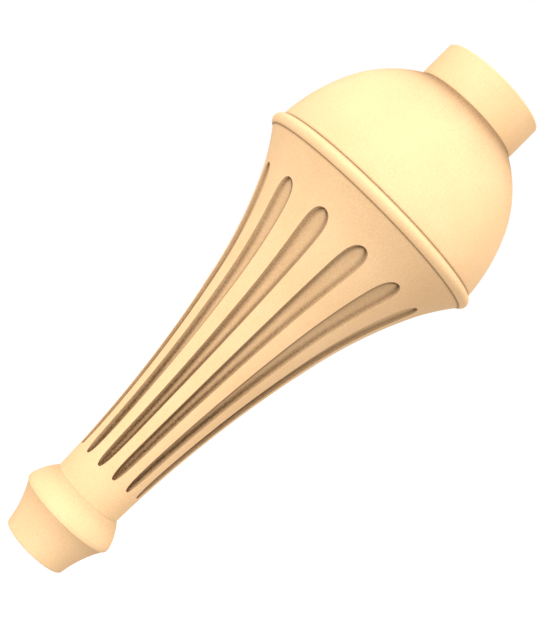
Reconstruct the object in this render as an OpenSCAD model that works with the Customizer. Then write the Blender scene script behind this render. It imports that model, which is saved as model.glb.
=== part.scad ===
// Fluted stone baluster, turned and carved from one block.
// It stands on its foot, with +Z up and the origin at the middle of the foot's underside.
// Its outline is a chain of straight lines and round arcs, turned about Z, and the flutes
// are cut into the flared shaft afterwards. Lengths are in millimetres, angles in degrees.

/* [Whole] */
// Height from the underside of the foot to the top of the spigot
overall_h = 600; // [590:1:640]

/* [Foot] */
// Radius of the foot just above its rounded lower edge
foot_r = 34.4; // [33:0.1:38]
// Radius of the rounded lower edge
foot_edge = 1.8; // [1:0.1:3]
// Height of the hollow flare above the ground
flare_h = 42.9; // [38:0.1:50]
// Radius of the flare at its top, under the collar
flare_top_r = 49; // [46:0.1:49.5]
// Radius of the hollow curve of the flare
flare_curve = 113; // [80:1:200]

/* [Collar] */
// Radius of the collar
collar_r = 50.1; // [49.8:0.1:54]
// Height of the collar's upright band
collar_band = 4; // [2:0.1:6]
// Radius of the collar's softened lower edge
collar_edge = 0.8; // [0.3:0.1:1.5]
// Height of the round shoulder between the band and the neck
shoulder_h = 23.1; // [20:0.1:26]
// Radius of the curve of the shoulder
shoulder_curve = 53.4; // [45:0.1:90]

/* [Flared shaft] */
// Radius of the neck, where the shaft rises out of the shoulder
neck_r = 37.2; // [34:0.1:40]
// Lean of the wall out from upright at the neck
neck_lean = 1.2; // [0.5:0.1:2]
// Radius of the curve of the slender lower shaft
low_curve = 1180; // [1100:10:1250]
// Lean of the wall where the lower and middle curves meet
low_lean = 12.6; // [12:0.1:13.5]
// Radius of the middle curve
mid_curve = 437; // [400:1:460]
// Lean of the wall where the middle and upper curves meet
mid_lean = 24.9; // [24:0.1:26]
// Radius of the upper curve, which opens to the mouth
top_curve = 206; // [180:1:230]
// Radius of the shaft at its mouth, under the bead
mouth_r = 120.3; // [119.6:0.1:122]

/* [Flutes] */
// Number of flutes
flute_count = 13; // [8:1:16]
// Share of the shaft's girth that is flute, the rest being the flat lands between
flute_share = 0.5; // [0.3:0.01:0.6]
// Depth of a flute, measured towards the axis
flute_depth = 4.9; // [2:0.1:6]
// Height of the lower ends of the flutes above the neck
flute_start = 30.2; // [20:0.1:60]
// Distance from the upper ends of the flutes down to the mouth
flute_stop = 29.6; // [25:0.1:60]
// How slowly a lower end widens: the larger, the more pointed
lower_taper = 9.3; // [5:0.1:12]
// How slowly an upper end widens
upper_taper = 7.9; // [5:0.1:12]

/* [Bead] */
// Radius of the baluster over the bead, its widest place
bead_reach = 125; // [124.5:0.1:126]
// Thickness of the bead's round section
bead_d = 12.8; // [12:0.1:15]

/* [Dome] */
// Radius of the dome where it leaves the bead
dome_r = 119.8; // [119:0.1:121]
// Angle above level of the dome's surface normal at the bead
dome_start = 3.2; // [2:0.1:5]
// Radius of the steep lower curve of the dome
dome_low_curve = 178.3; // [170:0.1:185]
// Angle above level of the normal where the two curves of the dome meet
dome_turn = 25; // [22:0.5:28]
// Radius of the crown curve of the dome
dome_crown_curve = 121.1; // [115:0.1:125]

/* [Spigot] */
// Radius of the spigot on top of the dome
spigot_r = 56; // [50:0.1:60]
// Width of the bevel round the spigot's top edge
spigot_bevel = 1; // [0.5:0.1:3]

/* [Hidden] */

// The cream of the stone
stone_colour = [0.98, 0.86, 0.67];
// Facets of a full circle, where a mesh of it is wanted
$fn = 240;
// Radius that lies outside every moulding
clear_r = bead_reach + 8;

// A wall that leans out from upright goes on from a point along an arc that is hollow
// outside, with its centre beyond the wall. Points are [radius, height].
function hollow_centre(p, curve, lean) = p + curve * [cos(lean), -sin(lean)];
function hollow_end(p, curve, lean, next_lean) =
    p + curve * [cos(lean) - cos(next_lean), sin(next_lean) - sin(lean)];
// A wall that leans in goes on along an arc that is full outside, from one angle of its
// normal above level to the next, with its centre inside the wall.
function full_centre(p, curve, rise) = p - curve * [cos(rise), sin(rise)];
function full_end(p, curve, rise, next_rise) =
    p + curve * [cos(next_rise) - cos(rise), sin(next_rise) - sin(rise)];
// The height at which an arc round a centre reaches a radius, above that centre
function arc_height(centre, curve, r) = centre[1] + sqrt(curve ^ 2 - (centre[0] - r) ^ 2);
// A height to the nearest hundredth, so that slices that meet there do so exactly
function level(z) = round(z * 100) / 100;
// The radius of a hollow arc at a height, on the axis's side of its centre
function hollow_r(centre, curve, z) = centre[0] - sqrt(curve ^ 2 - (z - centre[1]) ^ 2);
// The centre of the arc through p and, above it, q, on their right as one climbs from p
function outer_centre(p, q, curve) =
    let(half = (q - p) / 2, away = sqrt(curve ^ 2 - half * half))
    p + half + away / norm(half) * [half[1], -half[0]];
// The centre of the same arc on their left, on the axis's side
function inner_centre(p, q, curve) =
    let(half = (q - p) / 2, away = sqrt(curve ^ 2 - half * half))
    p + half - away / norm(half) * [half[1], -half[0]];

// Foot: the hollow flare, and the round edge that touches both the ground and the flare
flare_centre = outer_centre([foot_r, foot_edge], [flare_top_r, flare_h], flare_curve);
foot_edge_r = flare_centre[0]
    - sqrt((flare_curve + foot_edge) ^ 2 - (flare_centre[1] - foot_edge) ^ 2);
foot_edge_top = level(foot_edge
    + foot_edge * (flare_centre[1] - foot_edge) / (flare_curve + foot_edge));
// How far the flare runs up inside the collar, to make one body with it
flare_root = 1;

// Collar and shoulder
shoulder_z = flare_h + collar_band;
neck_z = shoulder_z + shoulder_h;
shoulder_centre = inner_centre([collar_r, shoulder_z], [neck_r, neck_z], shoulder_curve);

// Flared shaft: three hollow arcs, each starting as the one below it ends
shaft_curves = [low_curve, mid_curve, top_curve];
shaft_leans = [neck_lean, low_lean, mid_lean];
low_end = hollow_end([neck_r, neck_z], low_curve, neck_lean, low_lean);
mid_end = hollow_end(low_end, mid_curve, low_lean, mid_lean);
shaft_starts = [[neck_r, neck_z], low_end, mid_end];
shaft_arcs = [0 : len(shaft_curves) - 1];
shaft_centres = [for (i = shaft_arcs) hollow_centre(shaft_starts[i], shaft_curves[i], shaft_leans[i])];
mouth_z = arc_height(shaft_centres[2], top_curve, mouth_r);
function shaft_arc(z) = z < low_end[1] ? 0 : z < mid_end[1] ? 1 : 2;
function shaft_r(z) = hollow_r(shaft_centres[shaft_arc(z)], shaft_curves[shaft_arc(z)], z);

// Bead: its round section meets the mouth of the shaft below and the dome above
bead_r = bead_d / 2;
bead_ring_r = bead_reach - bead_r;
bead_z = mouth_z + sqrt(bead_r ^ 2 - (mouth_r - bead_ring_r) ^ 2);
dome_z = bead_z + sqrt(bead_r ^ 2 - (dome_r - bead_ring_r) ^ 2);

// The shaft's wall is drawn as short straight runs between points on its arcs. It is rooted
// in the shoulder at one end and in the bead at the other.
shaft_root = bead_r / 2;
shaft_runs = 50;
shaft_foot_z = shoulder_z + shaft_root;
shaft_top_z = mouth_z + shaft_root;
shaft_rise = (shaft_top_z - shaft_foot_z) / shaft_runs;
shaft_levels = [for (i = [0 : shaft_runs]) shaft_foot_z + i * shaft_rise];

// Dome: two full arcs. The crown arc goes on inside the spigot, up to half its radius.
dome_low_centre = full_centre([dome_r, dome_z], dome_low_curve, dome_start);
dome_turn_point = full_end([dome_r, dome_z], dome_low_curve, dome_start, dome_turn);
dome_turn_z = level(dome_turn_point[1]);
dome_crown_centre = full_centre(dome_turn_point, dome_crown_curve, dome_turn);
dome_top_z = level(arc_height(dome_crown_centre, dome_crown_curve, spigot_r / 2));

// Flutes: width and depth both follow end_swell, which goes from 0 at an end to nearly 1
flute_low = neck_z + flute_start;
flute_high = mouth_z - flute_stop;
flute_half_angle = 360 / flute_count * flute_share / 2;
function end_swell(z) =
    sqrt((1 - exp(-(z - flute_low) / lower_taper)) * (1 - exp(-(flute_high - z) / upper_taper)));
// Distances from an end at which the swell has grown by even steps of its arc
swell_steps = [5, 20, 35, 50, 64, 76];
function end_reach(taper) = [for (a = swell_steps) -2 * taper * ln(cos(a))];
lower_reach = end_reach(lower_taper);
upper_reach = end_reach(upper_taper);
last_step = len(swell_steps) - 1;
// Sections along the straight run of a flute, between its two rounded ends
run_sections = 11;
run_low = flute_low + lower_reach[last_step];
run_high = flute_high - upper_reach[last_step];
flute_levels = concat(
    [for (x = lower_reach) flute_low + x],
    [for (i = [1 : run_sections]) run_low + (run_high - run_low) * i / (run_sections + 1)],
    [for (i = [last_step : -1 : 0]) flute_high - upper_reach[i]]
);
// Points across the round floor of a flute
floor_points = 8;
// How far a flute's cutter stands proud of the shaft
cutter_proud = 3;

// A slice of the outline from the axis outwards, between two heights
module band(low, high) {
    translate([0, low]) square([clear_r, high - low]);
}

module hollow_band(low, high, centre, curve) {
    difference() {
        band(low, high);
        translate(centre) circle(curve);
    }
}

module full_band(low, high, centre, curve) {
    intersection() {
        band(low, high);
        translate(centre) circle(curve);
    }
}

module foot_outline() {
    hollow_band(foot_edge_top, flare_h + flare_root, flare_centre, flare_curve);
    square([foot_edge_r, foot_edge_top]);
    translate([foot_edge_r, foot_edge]) circle(foot_edge);
}

// A flat disc with a softened lower rim, whose upper part is turned down to the shoulder
module collar_outline() {
    intersection() {
        union() {
            translate([0, flare_h]) square([collar_r - collar_edge, neck_z - flare_h]);
            translate([0, flare_h + collar_edge])
                square([collar_r, neck_z - flare_h - collar_edge]);
            translate([collar_r - collar_edge, flare_h + collar_edge]) circle(collar_edge);
        }
        translate(shoulder_centre) circle(shoulder_curve);
    }
}

module shaft_outline() {
    polygon(concat(
        [[0, shaft_top_z], [0, shaft_foot_z]],
        [for (z = shaft_levels) [shaft_r(z), z]]
    ));
}

module bead_outline() {
    translate([bead_ring_r, bead_z]) circle(bead_r);
}

module dome_outline() {
    full_band(mouth_z, dome_turn_z, dome_low_centre, dome_low_curve);
    full_band(dome_turn_z, dome_top_z, dome_crown_centre, dome_crown_curve);
}

// The spigot's straight side runs down inside the dome
module spigot_outline() {
    polygon([
        [0, bead_z],
        [spigot_r, bead_z],
        [spigot_r, overall_h - spigot_bevel],
        [spigot_r - spigot_bevel, overall_h],
        [0, overall_h]
    ]);
}

// The whole turned form, before fluting
module turned_blank() {
    rotate_extrude() {
        foot_outline();
        collar_outline();
        shaft_outline();
        bead_outline();
        dome_outline();
        spigot_outline();
    }
}

// One section of a flute's cutter at a height: its round floor, a half ellipse across the
// groove, then its two corners proud of the shaft
function flute_section(z) =
    let(swell = end_swell(z), r = shaft_r(z), half = flute_half_angle * swell)
    concat(
        [for (i = [0 : floor_points - 1])
            let(a = 180 * (i + 0.5) / floor_points)
            polar(r - flute_depth * swell * sin(a), -half * cos(a), z)],
        [polar(r + cutter_proud, half, z), polar(r + cutter_proud, -half, z)]
    );
function polar(r, angle, z) = [r * cos(angle), r * sin(angle), z];

module flute_cutter() {
    ring = floor_points + 2;
    rings = len(flute_levels);
    sides = [
        for (k = [0 : rings - 2], i = [0 : ring - 1])
            let(a = k * ring + i, b = k * ring + (i + 1) % ring)
            each [[a, b, a + ring], [b, b + ring, a + ring]]
    ];
    polyhedron(
        points = [for (z = flute_levels) each flute_section(z)],
        faces = concat(
            [[for (i = [ring - 1 : -1 : 0]) i]],
            sides,
            [[for (i = [0 : ring - 1]) (rings - 1) * ring + i]]
        )
    );
}

module baluster() {
    color(stone_colour)
        difference() {
            turned_blank();
            // The first flute is centred on -Y, the front
            for (i = [0 : flute_count - 1])
                rotate([0, 0, i * 360 / flute_count - 90]) flute_cutter();
        }
}

baluster();
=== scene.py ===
"""Looks of a fluted stone baluster: one block of cream limestone, turned, then carved.

Lengths of the drawing are in millimetres and become metres by the frame's own height. The
axis is +Z, the origin is under the middle of the foot, and one flute is centred on -Y.
"""

import logging
import math
from dataclasses import dataclass
from enum import Enum
from typing import Any

import bpy
import numpy as np
from mathutils import Matrix, Vector


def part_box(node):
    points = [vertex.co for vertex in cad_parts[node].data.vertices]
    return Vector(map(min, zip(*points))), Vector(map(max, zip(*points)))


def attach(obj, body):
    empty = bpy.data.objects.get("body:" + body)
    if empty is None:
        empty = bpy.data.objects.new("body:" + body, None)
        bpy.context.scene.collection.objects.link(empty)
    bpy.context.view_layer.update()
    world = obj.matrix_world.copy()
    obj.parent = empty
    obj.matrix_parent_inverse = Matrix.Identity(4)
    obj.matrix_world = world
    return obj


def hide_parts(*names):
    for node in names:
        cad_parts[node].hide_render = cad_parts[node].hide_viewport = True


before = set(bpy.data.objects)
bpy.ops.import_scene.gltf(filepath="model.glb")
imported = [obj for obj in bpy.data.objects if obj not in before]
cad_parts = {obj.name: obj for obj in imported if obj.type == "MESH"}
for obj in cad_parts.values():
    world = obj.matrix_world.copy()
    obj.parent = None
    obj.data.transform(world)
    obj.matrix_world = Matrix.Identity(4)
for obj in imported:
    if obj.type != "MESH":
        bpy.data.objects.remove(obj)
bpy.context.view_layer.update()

NODE = "baluster"
BODY = "root"

# The mesh's own value for the painted shade in creases and flutes: 1 where none is painted, 0
# where it is darkest.
UNSHADED = "unshaded"
# The range in which nearly all of a noise pattern's values lie.
GRAIN_SPAN = (0.3, 0.7)
WHITE = (1.0, 1.0, 1.0, 1.0)
# Beyond this many standard deviations a bell-shaped weight counts as nothing.
BELL_TAIL = 4
# The sockets of a Mix node that mixes colours: the share, the two colours and the result.
MIX_INPUTS = (0, 6, 7)
MIX_RESULT = 2

log = logging.getLogger("baluster")


class Bend(Enum):
    """The way a stretch of the outline curves, seen from outside the stone."""

    HOLLOW = 1
    FULL = -1


def arc_centre(start: np.ndarray, end: np.ndarray, curve: float, bend: Bend) -> np.ndarray:
    """Finds the centre of the arc that joins two points of the outline.

    The centre is the chord's middle, moved square to the chord by sqrt(curve^2 - half^2):
    away from the axis for a hollow arc and towards it for a full one.

    Args:
        start: The lower point, as (radius, height).
        end: The upper point.
        curve: The arc's radius.
        bend: Which side of the outline the centre is on.

    Returns:
        The centre, as (radius, height).
    """
    half = (end - start) / 2
    reach = np.linalg.norm(half)
    outward = np.array([half[1], -half[0]]) / reach
    return start + half + bend.value * outward * math.sqrt(curve**2 - reach**2)


def arc_points(
    start: np.ndarray, end: np.ndarray, curve: float, bend: Bend, step: float
) -> np.ndarray:
    """Traces an arc from start to end.

    Points are centre + curve * (cos a, sin a), with a running evenly between the angles of
    the two ends.

    Args:
        start: The lower point, as (radius, height).
        end: The upper point.
        curve: The arc's radius.
        bend: Which side of the outline the centre is on.
        step: The longest distance between points.

    Returns:
        An array of (radius, height), both ends included.
    """
    centre = arc_centre(start, end, curve, bend)
    first, last = (math.atan2(*(p - centre)[::-1]) for p in (start, end))
    last += math.tau * round((first - last) / math.tau)
    count = max(int(abs(last - first) * curve / step), 2)
    angle = np.linspace(first, last, count + 1)
    return centre + curve * np.stack([np.cos(angle), np.sin(angle)], 1)


def line_points(start: np.ndarray, end: np.ndarray, step: float) -> np.ndarray:
    """Traces a straight line, start + t * (end - start) for even t from 0 to 1.

    Args:
        start: The first point, as (radius, height).
        end: The last point.
        step: The longest distance between points.

    Returns:
        An array of (radius, height), both ends included.
    """
    count = max(int(np.linalg.norm(end - start) / step), 2)
    return start + np.linspace(0, 1, count + 1)[:, None] * (end - start)


def smoothed(values: np.ndarray, reach: float) -> np.ndarray:
    """Evens out samples along their first axis with a bell-shaped weight.

    Each sample becomes sum(w_k * sample_k), where w falls off as exp(-(k / reach)^2 / 2).

    Args:
        values: The samples, evenly spaced, already padded at both ends.
        reach: The bell's standard deviation, in samples.

    Returns:
        The evened samples, shorter by the padding of `pad_of(reach)` at each end.
    """
    k = np.arange(-pad_of(reach), pad_of(reach) + 1)
    weight = np.exp(-((k / reach) ** 2) / 2)
    weight /= weight.sum()
    return np.apply_along_axis(np.convolve, 0, values, weight, "valid")


def pad_of(reach: float) -> int:
    """Gives the padding, in samples, that a bell of this reach needs at each end."""
    return int(BELL_TAIL * reach) + 1


@dataclass(frozen=True)
class Outline:
    """The turned outline, from the middle of the foot's underside to the middle of the top.

    Radii, heights and curves are in millimetres, and leans in degrees.
    """

    foot_r: float = 34.4
    foot_edge: float = 1.8
    flare_h: float = 42.9
    flare_top_r: float = 49.0
    flare_curve: float = 113.0
    collar_r: float = 50.1
    collar_band: float = 4.0
    collar_edge: float = 0.8
    shoulder_h: float = 23.1
    shoulder_curve: float = 53.4
    neck_r: float = 37.2
    neck_lean: float = 1.2
    shaft_curves: tuple[float, float, float] = (1180.0, 437.0, 206.0)
    shaft_leans: tuple[float, float] = (12.6, 24.9)
    mouth_r: float = 120.3
    bead_reach: float = 125.0
    bead_d: float = 12.8
    dome_r: float = 119.8
    dome_start: float = 3.2
    dome_low_curve: float = 178.3
    dome_turn: float = 25.0
    dome_crown_curve: float = 121.1
    spigot_r: float = 56.0
    spigot_bevel: float = 1.0
    overall_h: float = 600.0
    step: float = 0.05
    arris: float = 0.3

    @property
    def neck_z(self) -> float:
        """The height at which the shaft rises out of the shoulder."""
        return self.flare_h + self.collar_band + self.shoulder_h

    @property
    def mouth_z(self) -> float:
        """The height at which the shaft meets the bead."""
        return float(self.shaft_joints()[-1][1])

    def shaft_joints(self) -> list[np.ndarray]:
        """Finds the four points that the shaft's three hollow arcs join.

        An arc that starts at lean a and ends at lean b goes from p to
        p + curve * (cos a - cos b, sin b - sin a). The last arc ends where its radius
        reaches the mouth's.

        Returns:
            The points, as (radius, height), from the neck to the mouth.
        """
        joints = [np.array([self.neck_r, self.neck_z])]
        leans = np.radians([self.neck_lean, *self.shaft_leans])
        for curve, low, high in zip(self.shaft_curves, leans, leans[1:]):
            turn = np.array([math.cos(low) - math.cos(high), math.sin(high) - math.sin(low)])
            joints.append(joints[-1] + curve * turn)
        curve, lean = self.shaft_curves[-1], leans[-1]
        centre = joints[-1] + curve * np.array([math.cos(lean), -math.sin(lean)])
        rise = math.sqrt(curve**2 - (centre[0] - self.mouth_r) ** 2)
        joints.append(np.array([self.mouth_r, centre[1] + rise]))
        return joints

    def foot_and_collar(self) -> list[np.ndarray]:
        """Traces the underside, the round lower edge, the hollow flare and the collar.

        The round edge touches the ground and the flare, so its middle is foot_edge above
        the one and curve + foot_edge from the centre of the other.

        Returns:
            The stretches from the axis up to the neck, each an array of (radius, height).
        """
        flare_low = np.array([self.foot_r, self.foot_edge])
        flare_top = np.array([self.flare_top_r, self.flare_h])
        centre = arc_centre(flare_low, flare_top, self.flare_curve, Bend.HOLLOW)
        reach = self.flare_curve + self.foot_edge
        edge_r = centre[0] - math.sqrt(reach**2 - (centre[1] - self.foot_edge) ** 2)
        edge_mid = np.array([edge_r, self.foot_edge])
        touch = edge_mid + self.foot_edge * (centre - edge_mid) / reach
        rim = self.collar_r - self.collar_edge
        rim_top = np.array([self.collar_r, self.flare_h + self.collar_edge])
        shoulder = np.array([self.collar_r, self.flare_h + self.collar_band])
        neck = np.array([self.neck_r, self.neck_z])
        ground = np.array([edge_r, 0.0])
        return [
            line_points(np.zeros(2), ground, self.step),
            arc_points(ground, touch, self.foot_edge, Bend.FULL, self.step),
            arc_points(touch, flare_top, self.flare_curve, Bend.HOLLOW, self.step),
            line_points(flare_top, np.array([rim, self.flare_h]), self.step),
            arc_points(
                np.array([rim, self.flare_h]), rim_top, self.collar_edge, Bend.FULL, self.step
            ),
            line_points(rim_top, shoulder, self.step),
            arc_points(shoulder, neck, self.shoulder_curve, Bend.FULL, self.step),
        ]

    def shaft_and_bead(self) -> list[np.ndarray]:
        """Traces the three hollow arcs of the shaft and the bead's round.

        Each half of the round is a full arc of the bead's own radius, from a crease to the
        widest place or from there to the other crease.

        Returns:
            The stretches from the neck up to the dome, each an array of (radius, height).
        """
        joints = self.shaft_joints()
        shaft = [
            arc_points(low, high, curve, Bend.HOLLOW, self.step)
            for low, high, curve in zip(joints, joints[1:], self.shaft_curves)
        ]
        low, middle, high = self.bead_points()
        round_r = self.bead_d / 2
        widest = middle + np.array([round_r, 0.0])
        return shaft + [
            arc_points(low, widest, round_r, Bend.FULL, self.step),
            arc_points(widest, high, round_r, Bend.FULL, self.step),
        ]

    def bead_points(self) -> tuple[np.ndarray, np.ndarray, np.ndarray]:
        """Finds the bead's two creases and the middle of its round.

        The bead's circle, of radius r, has its middle at ring_r from the axis. It passes
        through the shaft's mouth and the dome's foot, so its middle stands
        sqrt(r^2 - (mouth_r - ring_r)^2) above the one and sqrt(r^2 - (dome_r - ring_r)^2)
        below the other.

        Returns:
            The lower crease, the middle and the upper crease, as (radius, height).
        """
        round_r = self.bead_d / 2
        ring_r = self.bead_reach - round_r
        low = self.shaft_joints()[-1]
        middle = np.array([ring_r, low[1] + math.sqrt(round_r**2 - (low[0] - ring_r) ** 2)])
        rise = math.sqrt(round_r**2 - (self.dome_r - ring_r) ** 2)
        return low, middle, np.array([self.dome_r, middle[1] + rise])

    def dome_and_spigot(self) -> list[np.ndarray]:
        """Traces the dome's two full arcs, the spigot's side and its flat top.

        The lower arc runs from one angle of its normal above level to the next, so its end
        is start + curve * (cos b - cos a, sin b - sin a). The crown arc goes on from there
        and ends where its radius is the spigot's.

        Returns:
            The stretches from the bead up to the axis, each an array of (radius, height).
        """
        start = self.bead_points()[-1]
        first, turn = math.radians(self.dome_start), math.radians(self.dome_turn)
        swing = np.array([math.cos(turn) - math.cos(first), math.sin(turn) - math.sin(first)])
        joint = start + self.dome_low_curve * swing
        normal = np.array([math.cos(turn), math.sin(turn)])
        centre = joint - self.dome_crown_curve * normal
        rise = math.sqrt(self.dome_crown_curve**2 - (self.spigot_r - centre[0]) ** 2)
        root = np.array([self.spigot_r, centre[1] + rise])
        bevel = np.array([self.spigot_r, self.overall_h - self.spigot_bevel])
        rim = np.array([self.spigot_r - self.spigot_bevel, self.overall_h])
        return [
            arc_points(start, joint, self.dome_low_curve, Bend.FULL, self.step),
            arc_points(joint, root, self.dome_crown_curve, Bend.FULL, self.step),
            line_points(root, bevel, self.step),
            arc_points(bevel, rim, self.spigot_bevel, Bend.FULL, self.step),
            line_points(rim, np.array([0.0, self.overall_h]), self.step),
        ]

    def creases(self) -> list[float]:
        """Gives the heights of the creases between one moulding and the next."""
        low, _, high = self.bead_points()
        root = self.dome_and_spigot()[2][0]
        return [self.flare_h, self.neck_z, low[1], high[1], root[1]]

    def traced(self) -> np.ndarray:
        """Traces the whole outline with its arrises and creases softened.

        The stretches are strung together, spaced evenly along their length, and each point
        is then averaged with its neighbours by a bell `arris` millimetres wide. Beyond the
        axis the outline goes on as its mirror image, so both ends stay flat.

        Returns:
            An array of (radius, height), `step` millimetres apart.
        """
        stretches = self.foot_and_collar() + self.shaft_and_bead() + self.dome_and_spigot()
        sharp = np.concatenate([stretches[0][:1]] + [s[1:] for s in stretches])
        run = along(sharp)
        even = np.linspace(0, run[-1], int(run[-1] / self.step) + 1)
        path = np.stack([np.interp(even, run, sharp[:, i]) for i in range(2)], 1)
        reach = self.arris / self.step
        pad = pad_of(reach)
        mirror = np.array([-1.0, 1.0])
        before, after = path[pad:0:-1] * mirror, path[-2 : -pad - 2 : -1] * mirror
        soft = smoothed(np.concatenate([before, path, after]), reach)
        soft[[0, -1], 0] = 0.0
        return soft


def along(path: np.ndarray) -> np.ndarray:
    """Gives the distance along a path at each of its points, from 0 at the first."""
    return np.concatenate([[0.0], np.cumsum(np.linalg.norm(np.diff(path, axis=0), axis=1))])


@dataclass(frozen=True)
class CreaseShade:
    """A crease of the outline darkened with painted shade, over a width in millimetres each way.
    """

    height: float
    below: float
    above: float
    painted_shade: float

    def unshaded_share(self, path: np.ndarray) -> np.ndarray:
        """Says how much painted shade darkens the outline beside this crease.

        It is 1 - painted_shade * exp(-(away / width)^2), where away is the distance along the
        outline, and width is `below` on the crease's lower side and `above` on its upper.

        Args:
            path: The outline, as (radius, height), evenly spaced.

        Returns:
            A value for each point, 1 where no shade is painted.
        """
        run = along(path)
        away = run - np.interp(self.height, path[:, 1], run)
        width = np.where(away < 0, self.below, self.above)
        return 1 - self.painted_shade * np.exp(-((away / width) ** 2))


@dataclass(frozen=True)
class Flutes:
    """The round-ended flutes round the shaft, and the painted shade in them.

    Lengths are in millimetres. A flute takes `share` of its pitch, and its columns are never
    less than `narrowest` to each side of its middle. An arris takes at most `arris_most` of
    a flute's depth and width, and the margin beside it `margin_most` of the width. Nearer
    to the axis than `least_girth`, columns are laid out as they are there. Shallower than
    `uncut`, the stone counts as not cut.
    """

    neck_z: float
    mouth_z: float
    above_neck: float = 30.2
    below_mouth: float = 29.6
    count: int = 13
    share: float = 0.5
    depth: float = 4.9
    lower_taper: float = 9.3
    upper_taper: float = 7.9
    arris: float = 0.45
    arris_most: float = 0.3
    margin: float = 0.35
    margin_most: float = 0.2
    narrowest: float = 0.12
    least_girth: float = 1.0
    uncut: float = 0.001
    floor_steps: int = 8
    arris_steps: int = 2
    land_steps: int = 2
    # Painted shade in the flutes: the floors are darkened overall, and more in a band just
    # inside each brink, the more so as a flute narrows.
    flute_shade_factor: float = 0.75
    shade_place: float = 2.3
    shade_wall: float = 1.9
    shade_floor: float = 2.9
    shade_half: float = 5.1
    shade_most: float = 0.94

    @property
    def low(self) -> float:
        """The height of the flutes' lower ends."""
        return self.neck_z + self.above_neck

    @property
    def high(self) -> float:
        """The height of the flutes' upper ends."""
        return self.mouth_z - self.below_mouth

    @property
    def pitch(self) -> float:
        """The angle from one flute to the next, in radians."""
        return math.tau / self.count

    @property
    def columns(self) -> int:
        """The number of columns of the mesh round the whole block."""
        return 2 * (self.floor_steps + self.arris_steps + 1 + self.land_steps) * self.count

    def swell(self, z: np.ndarray) -> np.ndarray:
        """Says how fully a flute has opened at a height.

        It is sqrt((1 - exp(-a / lower_taper)) * (1 - exp(-b / upper_taper))), where a and
        b are the distances from its two ends. Past an end the distance counts as if it
        were inside, so that the mesh's columns draw together at the tip and part again.

        Args:
            z: Heights.

        Returns:
            Values from 0 at a tip to nearly 1.
        """
        a, b = np.abs(z - self.low), np.abs(self.high - z)
        opened = (1 - np.exp(-a / self.lower_taper)) * (1 - np.exp(-b / self.upper_taper))
        return np.sqrt(opened)

    def section(self, r: np.ndarray, z: np.ndarray) -> tuple[np.ndarray, ...]:
        """Works out half of one flute and half of the land beside it, row by row.

        The floor is half an ellipse: at parameter t it is at angle w * sin t / sin t_top
        and depth d * cos t, for t from 0 to t_top, where the depth equals the arris's own
        depth e. The arris turns from there onto the land through angles a, at
        w + s / r * (1 - cos a) and depth e * (1 - sin a), where s is its spread over the
        land. A narrow margin and even steps carry on over the land to half the pitch. Painted
        shade darkens the stone in a flute to `flute_shade_factor` times its unshaded share
        beside each brink.

        Args:
            r: The radius of the uncut block at each row.
            z: The height of each row.

        Returns:
            Angles in radians from the flute's middle, depths in millimetres, and the stone's
            share free of painted shade, all one row of the block by one column of the half
            pitch.
        """
        swell = self.swell(z)
        inside = (z > self.low) & (z < self.high)
        girth = np.maximum(r, self.least_girth)
        width = np.maximum(self.pitch / 2 * self.share * swell, self.narrowest / girth)
        depth = np.where(inside, self.depth * swell, 0.0)
        edge = np.minimum(self.arris, self.arris_most * depth)
        spread = np.minimum(self.arris / girth, self.arris_most * width)
        top = np.arccos(edge / np.maximum(depth, self.uncut))
        width = width - spread / 2

        t = np.linspace(0, 1, self.floor_steps + 1) * top[:, None]
        floor_angle = width[:, None] * np.sin(t) / np.sin(top)[:, None]
        floor_depth = depth[:, None] * np.cos(t)
        a = np.linspace(0, math.pi / 2, self.arris_steps + 1)[1:]
        arris_angle = width[:, None] + spread[:, None] * (1 - np.cos(a))
        arris_depth = edge[:, None] * (1 - np.sin(a))
        brink = arris_angle[:, -1:]
        margin = np.minimum(self.margin / girth, self.margin_most * width)[:, None]
        share = np.linspace(0, 1, self.land_steps + 1)
        land_angle = brink + margin + (self.pitch / 2 - brink - margin) * share
        angle = np.concatenate([floor_angle, arris_angle, land_angle], 1)
        deep = np.concatenate([floor_depth, arris_depth, np.zeros_like(land_angle)], 1)
        sides = np.abs(brink + np.stack([angle, -angle])) * girth[:, None]
        # Painted shade in the flute, darkest just inside each brink.
        unshaded = self.flute_shade_factor * self.unshaded_share(sides, width[:, None] * girth[:, None]).prod(0)
        return angle, deep, np.where(deep > self.uncut, unshaded, 1.0)

    def unshaded_share(self, away: np.ndarray, half: np.ndarray) -> np.ndarray:
        """Says how much painted shade darkens a flute at a distance from one of its brinks.

        It is 1 - shade_strength * exp(-((away - shade_place) / width)^2), where width is
        shade_wall nearer to the brink than shade_place and shade_floor farther in, and
        shade_strength is shade_half / half, at most shade_most, so that a narrow flute gets the
        darker painted shade.

        Args:
            away: Distances across the flute, in millimetres.
            half: Half the flute's width at the same places.

        Returns:
            Values from 0 to 1.
        """
        width = np.where(away < self.shade_place, self.shade_wall, self.shade_floor)
        shade_strength = np.minimum(self.shade_half / half, self.shade_most)
        return 1 - shade_strength * np.exp(-(((away - self.shade_place) / width) ** 2))

    def round_block(self, r: np.ndarray, z: np.ndarray) -> tuple[np.ndarray, ...]:
        """Repeats the half section round the block.

        Each pitch is the half section's mirror image followed by the half section, turned
        by whole pitches. The two halves share the flute's middle, and neighbouring pitches
        share the middle of the land.

        Args:
            r: The radius of the uncut block at each row.
            z: The height of each row.

        Returns:
            Angles in radians, depths in millimetres and shares free of painted shade, one row by
            `columns`.
        """
        angle, depth, unshaded = self.section(r, z)
        one_angle = np.concatenate([-angle[:, :0:-1], angle[:, :-1]], 1)
        turns = np.arange(self.count)[:, None] * self.pitch
        angles = (one_angle[:, None, :] + turns).reshape(len(z), -1)
        depths, unshaded_rows = (
            np.tile(np.concatenate([half[:, :0:-1], half[:, :-1]], 1), (1, self.count))
            for half in (depth, unshaded)
        )
        return angles, depths, unshaded_rows


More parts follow.
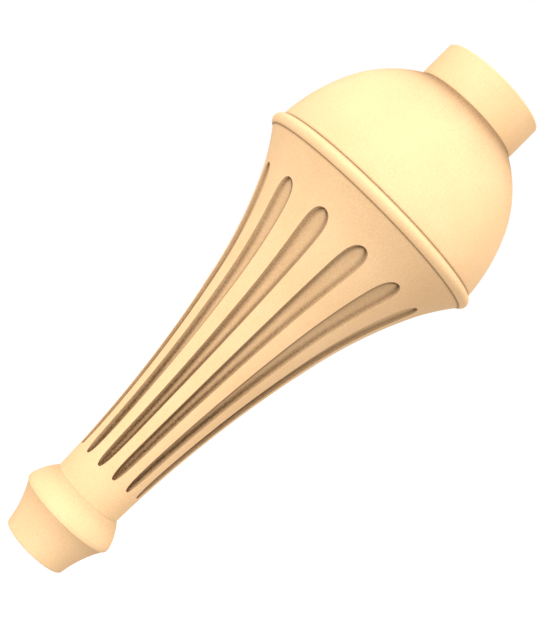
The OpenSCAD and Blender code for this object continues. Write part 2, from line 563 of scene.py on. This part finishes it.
@dataclass(frozen=True)
class Rows:
    """How closely the mesh's rows follow the outline.

    Lengths are in millimetres. Rows are `longest` apart where nothing happens, and one
    stands at every `turn` radians of the outline's turning.
    """

    longest: float = 9.0
    turn: float = math.radians(9.0)
    blend: float = 1.0
    tip_nearest: float = 0.22
    tip_growth: float = 0.36
    crease_nearest: float = 0.8
    crease_growth: float = 0.5
    reach: float = 40.0

    def places(self, path: np.ndarray, tips: list[float], creases: list[float]) -> np.ndarray:
        """Chooses the rows of the mesh along the traced outline.

        Rows per millimetre are 1 / longest, plus the outline's turning per millimetre over
        `turn`, plus 1 / (nearest + growth * distance) round each tip of a flute and each
        crease, fading to nothing at `reach`. They are evened along the outline over `blend`
        and summed, and a row is set wherever the sum passes a whole number.

        Args:
            path: The traced outline, as (radius, height), evenly spaced.
            tips: The heights of the flutes' two ends.
            creases: The heights of the creases between mouldings.

        Returns:
            Where the rows are, as distances along the outline, both ends on the axis.
        """
        run = along(path)
        step = run[1] - run[0]
        heading = np.unwrap(np.arctan2(*np.gradient(path, axis=0).T[::-1]))
        turning = np.abs(np.gradient(heading, step))
        density = 1 / self.longest + turning / self.turn
        knots = [(z, self.tip_nearest, self.tip_growth) for z in tips]
        knots += [(z, self.crease_nearest, self.crease_growth) for z in creases]
        for z, nearest, growth in knots:
            away = np.abs(run - np.interp(z, path[:, 1], run))
            density += np.clip(1 - away / self.reach, 0, 1) / (nearest + growth * away)
        reach = self.blend / step
        pad = pad_of(reach)
        density = smoothed(np.pad(density, pad, mode="edge"), reach)
        total = np.concatenate([[0.0], np.cumsum((density[1:] + density[:-1]) / 2 * step)])
        return np.interp(np.linspace(0, total[-1], round(total[-1]) + 1), total, run)


class NodeBench:
    """Adds and wires the nodes of one material or world."""

    def __init__(self, tree: bpy.types.NodeTree) -> None:
        """Starts on an emptied node tree."""
        self.tree = tree
        tree.nodes.clear()

    def add(self, kind: str, settings: dict[str, Any] | None = None, **inputs: Any) -> Any:
        """Adds a node.

        Args:
            kind: Blender's name for the node type, without its ShaderNode prefix.
            settings: Properties of the node itself.
            **inputs: Sockets by name, with _ for a space. A socket is linked, and any
                other value is set on it.

        Returns:
            The node.
        """
        node = self.tree.nodes.new("ShaderNode" + kind)
        for name, value in (settings or {}).items():
            setattr(node, name, value)
        for name, value in inputs.items():
            self.feed(node.inputs[name.replace("_", " ")], value)
        return node

    def mix(self, share: Any, first: Any, second: Any, blend: str = "MIX") -> Any:
        """Adds a colour mix.

        Args:
            share: The factor, as a socket or a number.
            first: The colour at factor 0.
            second: The colour at factor 1.
            blend: Blender's name for the blend.

        Returns:
            The colour socket of the result.
        """
        node = self.add("Mix", {"data_type": "RGBA", "blend_type": blend})
        for index, value in zip(MIX_INPUTS, (share, first, second)):
            self.feed(node.inputs[index], value)
        return node.outputs[MIX_RESULT]

    def maths(self, operation: str, first: Any, second: Any, clamp: bool = False) -> Any:
        """Adds an operation on two numbers.

        Args:
            operation: Blender's name for the operation.
            first: The first number, as a socket or a value.
            second: The second number, as a socket or a value.
            clamp: Whether the result is kept from 0 to 1.

        Returns:
            The socket of the result.
        """
        node = self.add("Math", {"operation": operation, "use_clamp": clamp})
        self.feed(node.inputs[0], first)
        self.feed(node.inputs[1], second)
        return node.outputs[0]

    def feed(self, socket: Any, value: Any) -> None:
        """Gives an input its value.

        Args:
            socket: The input.
            value: A socket, which is linked to it, or any other value, which is set on it.
        """
        if isinstance(value, bpy.types.NodeSocket):
            self.tree.links.new(value, socket)
        else:
            socket.default_value = value

    def ramp(self, value: Any, low: float, high: float, to_low: float, to_high: float) -> Any:
        """Adds a clamped change of range.

        Args:
            value: The value, as a socket.
            low: The value that becomes to_low.
            high: The value that becomes to_high.
            to_low: The result at low and beyond it.
            to_high: The result at high and beyond it.

        Returns:
            The socket of the result.
        """
        node = self.add(
            "MapRange", Value=value, From_Min=low, From_Max=high, To_Min=to_low, To_Max=to_high
        )
        return node.outputs["Result"]


@dataclass(frozen=True)
class Mottle:
    """A noise pattern: the size of its patches in metres, and its finer layers."""

    size: float
    layers: float
    layer_weight: float

    def socket(self, bench: NodeBench, place: Any) -> Any:
        """Adds the pattern to a material.

        Args:
            bench: The material's bench.
            place: The socket of the coordinates.

        Returns:
            The socket of the pattern's value.
        """
        noise = bench.add(
            "TexNoise",
            Vector=place,
            Scale=1 / self.size,
            Detail=self.layers,
            Roughness=self.layer_weight,
        )
        return noise.outputs["Fac"]


@dataclass(frozen=True)
class Limestone:
    """A fine, rubbed, cream limestone.

    Cloudy bedding, a sandy grain and scattered pinholes vary its colour, roughness and
    surface, and painted shade darkens it in creases and flutes where the piece's own value
    says so. Colours are linear, sizes in metres. A span is the values between which a pattern
    goes from one look to the other, and a pinhole's rim is in shares of the distance between
    pinholes.
    """

    name: str = "cream_limestone"
    body: tuple[float, float, float] = (0.66, 0.427, 0.229)
    warm: tuple[float, float, float] = (0.62, 0.39, 0.198)
    pale: tuple[float, float, float] = (0.685, 0.453, 0.251)
    pit: tuple[float, float, float] = (0.42, 0.25, 0.13)
    # Painted shade: the dark brown mixed in where creases and flutes lie in shade.
    painted_shade: tuple[float, float, float] = (0.08, 0.039, 0.014)
    evenness: float = 0.45
    cloud: Mottle = Mottle(size=0.055, layers=3.0, layer_weight=0.55)
    cloud_span: tuple[float, float] = (0.35, 0.7)
    grain: Mottle = Mottle(size=0.0011, layers=2.0, layer_weight=0.6)
    speckle: tuple[float, float] = (0.9, 1.09)
    # How much the grain breaks up the painted shade.
    shade_speckle: float = 0.16
    pinhole: float = 0.011
    pinhole_rim: tuple[float, float] = (0.04, 0.075)
    pinhole_shade: float = 0.4
    roughness: tuple[float, float] = (0.70, 0.88)
    sheen: float = 0.06
    bump: float = 0.5
    bump_depth: float = 0.00015

    def material(self) -> bpy.types.Material:
        """Builds the stone.

        Returns:
            The material, with one Principled shader read from Object coordinates.
        """
        material = bpy.data.materials.new(self.name)
        material.use_nodes = True
        bench = NodeBench(material.node_tree)
        place = bench.add("TexCoord").outputs["Object"]
        cloud = bench.ramp(self.cloud.socket(bench, place), *self.cloud_span, 0.0, 1.0)
        grain = self.grain.socket(bench, place)
        holes = bench.add("TexVoronoi", Vector=place, Scale=1 / self.pinhole)
        hole = bench.ramp(holes.outputs["Distance"], *self.pinhole_rim, 1.0, 0.0)

        colour = bench.mix(cloud, (*self.warm, 1.0), (*self.pale, 1.0))
        colour = bench.mix(self.evenness, colour, (*self.body, 1.0))
        speckle = bench.ramp(grain, *GRAIN_SPAN, *self.speckle)
        colour = bench.mix(1.0, colour, speckle, "MULTIPLY")
        pitted = bench.maths("MULTIPLY", hole, self.pinhole_shade)
        colour = bench.mix(pitted, colour, (*self.pit, 1.0))
        # Painted shade in creases and flutes, mixed towards the dark brown.
        colour = bench.mix(self.unshaded(bench, grain), (*self.painted_shade, 1.0), colour)

        relief = bench.maths("SUBTRACT", grain, hole)
        bump = bench.add("Bump", Height=relief, Strength=self.bump, Distance=self.bump_depth)
        shader = bench.add(
            "BsdfPrincipled",
            Base_Color=colour,
            Roughness=bench.ramp(grain, *GRAIN_SPAN, *self.roughness),
            Normal=bump.outputs[0],
        )
        shader.inputs["Specular IOR Level"].default_value = self.sheen
        bench.add("OutputMaterial", Surface=shader.outputs[0])
        return material

    def unshaded(self, bench: NodeBench, grain: Any) -> Any:
        """Reads the piece's share free of painted shade and lets the painted shade follow the
        stone's grain.

        The piece's own value gains (1 - value) * speckle, where speckle goes from
        -shade_speckle to shade_speckle with the grain.

        Args:
            bench: The material's bench.
            grain: The grain's socket.

        Returns:
            The socket of the result, from 0 where the painted shade is darkest to 1 where there
            is none.
        """
        unshaded = bench.add("Attribute", {"attribute_name": UNSHADED}).outputs["Fac"]
        speckle = bench.ramp(grain, *GRAIN_SPAN, -self.shade_speckle, self.shade_speckle)
        gain = bench.maths("MULTIPLY", bench.maths("SUBTRACT", 1.0, unshaded), speckle)
        return bench.maths("ADD", unshaded, gain, clamp=True)


def mesh_object(
    name: str, points: np.ndarray, quads: np.ndarray, triangles: np.ndarray
) -> bpy.types.Object:
    """Puts worked-out points and faces into a smooth-shaded mesh object.

    Args:
        name: The object's name.
        points: One (x, y, z) in metres for each vertex.
        quads: Four vertex numbers for each quad, anticlockwise from outside.
        triangles: Three vertex numbers for each triangle.

    Returns:
        The object, linked to the scene, at the origin.
    """
    corners = np.concatenate([quads.ravel(), triangles.ravel()]).astype(np.int32)
    sizes = np.repeat([4, 3], [len(quads), len(triangles)])
    starts = np.concatenate([[0], np.cumsum(sizes)[:-1]]).astype(np.int32)
    mesh = bpy.data.meshes.new(name)
    mesh.vertices.add(len(points))
    mesh.vertices.foreach_set("co", points.astype(np.float32).ravel())
    mesh.loops.add(len(corners))
    mesh.loops.foreach_set("vertex_index", corners)
    mesh.polygons.add(len(sizes))
    mesh.polygons.foreach_set("loop_start", starts)
    mesh.polygons.foreach_set("use_smooth", np.ones(len(sizes), bool))
    mesh.update(calc_edges=True)
    mesh.validate()
    piece = bpy.data.objects.new(name, mesh)
    bpy.context.scene.collection.objects.link(piece)
    return piece


@dataclass
class Baluster:
    """The carved block: an outline turned about the axis, with its flutes cut in."""

    outline: Outline
    flutes: Flutes
    rows: Rows
    stone: Limestone
    unit: float
    name: str = "carved_baluster"

    def points(self) -> tuple[np.ndarray, np.ndarray]:
        """Works out every vertex but the two on the axis.

        A vertex at row (r, z) and column (angle, depth) is at
        ((r - depth) * sin(angle), -(r - depth) * cos(angle), z), so angle 0 faces -Y. Its
        share free of painted shade is the product of the flute's and of every crease's.

        Returns:
            An array of rows by columns by (x, y, z), in metres, and their shares free of painted
            shade.
        """
        path = self.outline.traced()
        run = along(path)
        tips = [self.flutes.low, self.flutes.high]
        places = self.rows.places(path, tips, self.outline.creases())[1:-1]
        # Painted shade from every crease, darkening the colour where shade falls.
        unshaded = math.prod(crease_shade.unshaded_share(path) for crease_shade in self.crease_shades())
        r, z, crease_unshaded = (np.interp(places, run, values) for values in (*path.T, unshaded))
        angle, depth, flute_unshaded = self.flutes.round_block(r, z)
        reach = r[:, None] - depth
        x, y = reach * np.sin(angle), -reach * np.cos(angle)
        height = np.broadcast_to(z[:, None], x.shape)
        return np.stack([x, y, height], 2) * self.unit, crease_unshaded[:, None] * flute_unshaded

    def crease_shades(self) -> list[CreaseShade]:
        """Lists the creases darkened with painted shade, from the collar to the spigot's root.
        """
        collar, neck, mouth, brow, root = self.outline.creases()
        # Painted shade along each crease, spreading below the collar, the neck, the bead and
        # round the spigot's root.
        return [
            CreaseShade(collar, below=12.0, above=0.5, painted_shade=0.13),
            CreaseShade(neck, below=12.0, above=1.0, painted_shade=0.22),
            CreaseShade(mouth, below=45.0, above=0.5, painted_shade=0.07),
            CreaseShade(mouth, below=1.3, above=0.9, painted_shade=0.68),
            CreaseShade(brow, below=3.1, above=1.2, painted_shade=0.8),
            CreaseShade(root, below=55.0, above=0.5, painted_shade=0.35),
            CreaseShade(root, below=17.5, above=1.0, painted_shade=0.63),
        ]

    def build(self) -> bpy.types.Object:
        """Builds the block's one closed mesh and dresses it in stone.

        Neighbouring rows and columns are joined by quads, and the first and last rows by
        triangles to the two vertices on the axis.

        Returns:
            The finished piece, riding on its body in place of the CAD node.
        """
        grid, unshaded = self.points()
        count, columns = grid.shape[:2]
        poles = np.array([[0, 0, 0], [0, 0, self.outline.overall_h * self.unit]])
        vertices = np.concatenate([grid.reshape(-1, 3), poles])
        number = np.arange(count * columns).reshape(count, columns)
        beside = np.roll(number, -1, 1)
        quads = np.stack([number[:-1], beside[:-1], beside[1:], number[1:]], 2).reshape(-1, 4)
        low, high = count * columns, count * columns + 1
        below = np.stack([np.full(columns, low), beside[0], number[0]], 1)
        above = np.stack([np.full(columns, high), number[-1], beside[-1]], 1)
        piece = mesh_object(self.name, vertices, quads, np.concatenate([below, above]))
        # The painted shade of creases and flutes, stored on the vertices for the stone to read.
        painted_shade_layer = piece.data.attributes.new(UNSHADED, "FLOAT", "POINT")
        painted_shade_layer.data.foreach_set("value", np.append(unshaded, [1.0, 1.0]).astype(np.float32))
        piece.data.materials.append(self.stone.material())
        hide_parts(NODE)
        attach(piece, BODY)
        triangles = sum(len(face.vertices) - 2 for face in piece.data.polygons)
        log.info("%s: %d rows of %d columns, %d triangles", self.name, count, columns, triangles)
        return piece


@dataclass(frozen=True)
class Lamp:
    """A soft sun, `side` degrees off the camera, `rise` degrees up, `spread` degrees wide."""

    name: str
    side: float
    rise: float
    strength: float
    spread: float


@dataclass
class Studio:
    """A plain pale floor, soft light and the camera.

    The eye's place is in millimetres, the lens too, angles are in degrees and the floor's
    size is in metres. `unit` is the metres in a millimetre of the drawing.
    """

    unit: float
    azimuth: float = 16.5
    distance: float = 1236.7
    eye_height: float = 296.5
    eye_side: float = -0.85
    pitch: float = 0.48
    roll: float = 45.0
    lens: float = 77.27
    floor_size: float = 40.0
    floor_grey: float = 0.04
    floor_roughness: float = 0.9
    floor_glow: float = 0.97
    world_strength: float = 1.0
    lamps: tuple[Lamp, ...] = (
        Lamp("key", side=-34.0, rise=8.0, strength=2.9, spread=30.0),
        Lamp("top", side=15.0, rise=70.0, strength=3.5, spread=50.0),
    )

    def axes(self) -> tuple[Vector, Vector, Vector]:
        """Works out the directions of the stage, as seen from the camera.

        Returns:
            Right, up, and front, which points from the axis to the camera.
        """
        a = math.radians(self.azimuth)
        right = Vector((math.cos(a), math.sin(a), 0))
        front = Vector((math.sin(a), -math.cos(a), 0))
        return right, Vector((0, 0, 1)), front

    def build(self) -> None:
        """Sets the floor, the lights, the world, the camera and the plain view."""
        self.floor()
        for lamp in self.lamps:
            self.light(lamp)
        self.world()
        self.camera()
        view = bpy.context.scene.view_settings
        view.view_transform = "Standard"
        view.look = "None"
        away = self.distance * self.unit
        log.info("studio: %d lamps, camera %.3f m from the axis", len(self.lamps), away)

    def floor(self) -> None:
        """Lays a wide floor under the foot, with an even white glow."""
        square = np.array([[-1, -1, 0], [1, -1, 0], [1, 1, 0], [-1, 1, 0]]) / 2
        corners = square * self.floor_size
        floor = mesh_object("floor", corners, np.array([[0, 1, 2, 3]]), np.zeros((0, 3), int))
        material = bpy.data.materials.new("studio_floor")
        material.use_nodes = True
        bench = NodeBench(material.node_tree)
        shader = bench.add(
            "BsdfPrincipled",
            Base_Color=(self.floor_grey, self.floor_grey, self.floor_grey, 1.0),
            Roughness=self.floor_roughness,
            Emission_Color=WHITE,
            Emission_Strength=self.floor_glow,
        )
        bench.add("OutputMaterial", Surface=shader.outputs[0])
        floor.data.materials.append(material)

    def light(self, lamp: Lamp) -> None:
        """Adds one soft sun.

        It shines from front * cos(side) + right * sin(side), raised by `rise`.

        Args:
            lamp: The sun's direction, strength and softness.
        """
        right, up, front = self.axes()
        side, rise = math.radians(lamp.side), math.radians(lamp.rise)
        level = right * math.sin(side) + front * math.cos(side)
        towards = level * math.cos(rise) + up * math.sin(rise)
        data = bpy.data.lights.new(lamp.name, "SUN")
        data.energy = lamp.strength
        data.angle = math.radians(lamp.spread)
        sun = bpy.data.objects.new(lamp.name, data)
        sun.rotation_euler = towards.to_track_quat("Z", "Y").to_euler()
        bpy.context.scene.collection.objects.link(sun)

    def world(self) -> None:
        """Surrounds the stage with even white light."""
        world = bpy.data.worlds.new("studio_world")
        world.use_nodes = True
        bench = NodeBench(world.node_tree)
        sky = bench.add("Background", Color=WHITE, Strength=self.world_strength)
        bench.add("OutputWorld", Surface=sky.outputs[0])
        bpy.context.scene.world = world

    def camera(self) -> None:
        """Stands the camera in front, pitched up a little and rolled on its side."""
        right, up, front = self.axes()
        pitch, roll = math.radians(self.pitch), math.radians(self.roll)
        back = front * math.cos(pitch) - up * math.sin(pitch)
        level_up = up * math.cos(pitch) + front * math.sin(pitch)
        rolled_up = level_up * math.cos(roll) - right * math.sin(roll)
        rolled_right = right * math.cos(roll) + level_up * math.sin(roll)
        data = bpy.data.cameras.new("camera")
        data.lens = self.lens
        data.clip_end = 2 * self.floor_size
        camera = bpy.data.objects.new("camera", data)
        turn = Matrix((rolled_right, rolled_up, back)).transposed().to_4x4()
        place = right * self.eye_side + up * self.eye_height + front * self.distance
        camera.matrix_world = Matrix.Translation(place * self.unit) @ turn
        bpy.context.scene.collection.objects.link(camera)
        bpy.context.scene.camera = camera


def main() -> None:
    """Builds the baluster and its studio, and reports each."""
    logging.basicConfig(level=logging.INFO, format="%(name)s: %(message)s")
    outline = Outline()
    low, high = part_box(NODE)
    unit = (high.z - low.z) / outline.overall_h
    flutes = Flutes(outline.neck_z, outline.mouth_z)
    Baluster(outline, flutes, Rows(), Limestone(), unit).build()
    Studio(unit).build()


if __name__ == "__main__":
    main()
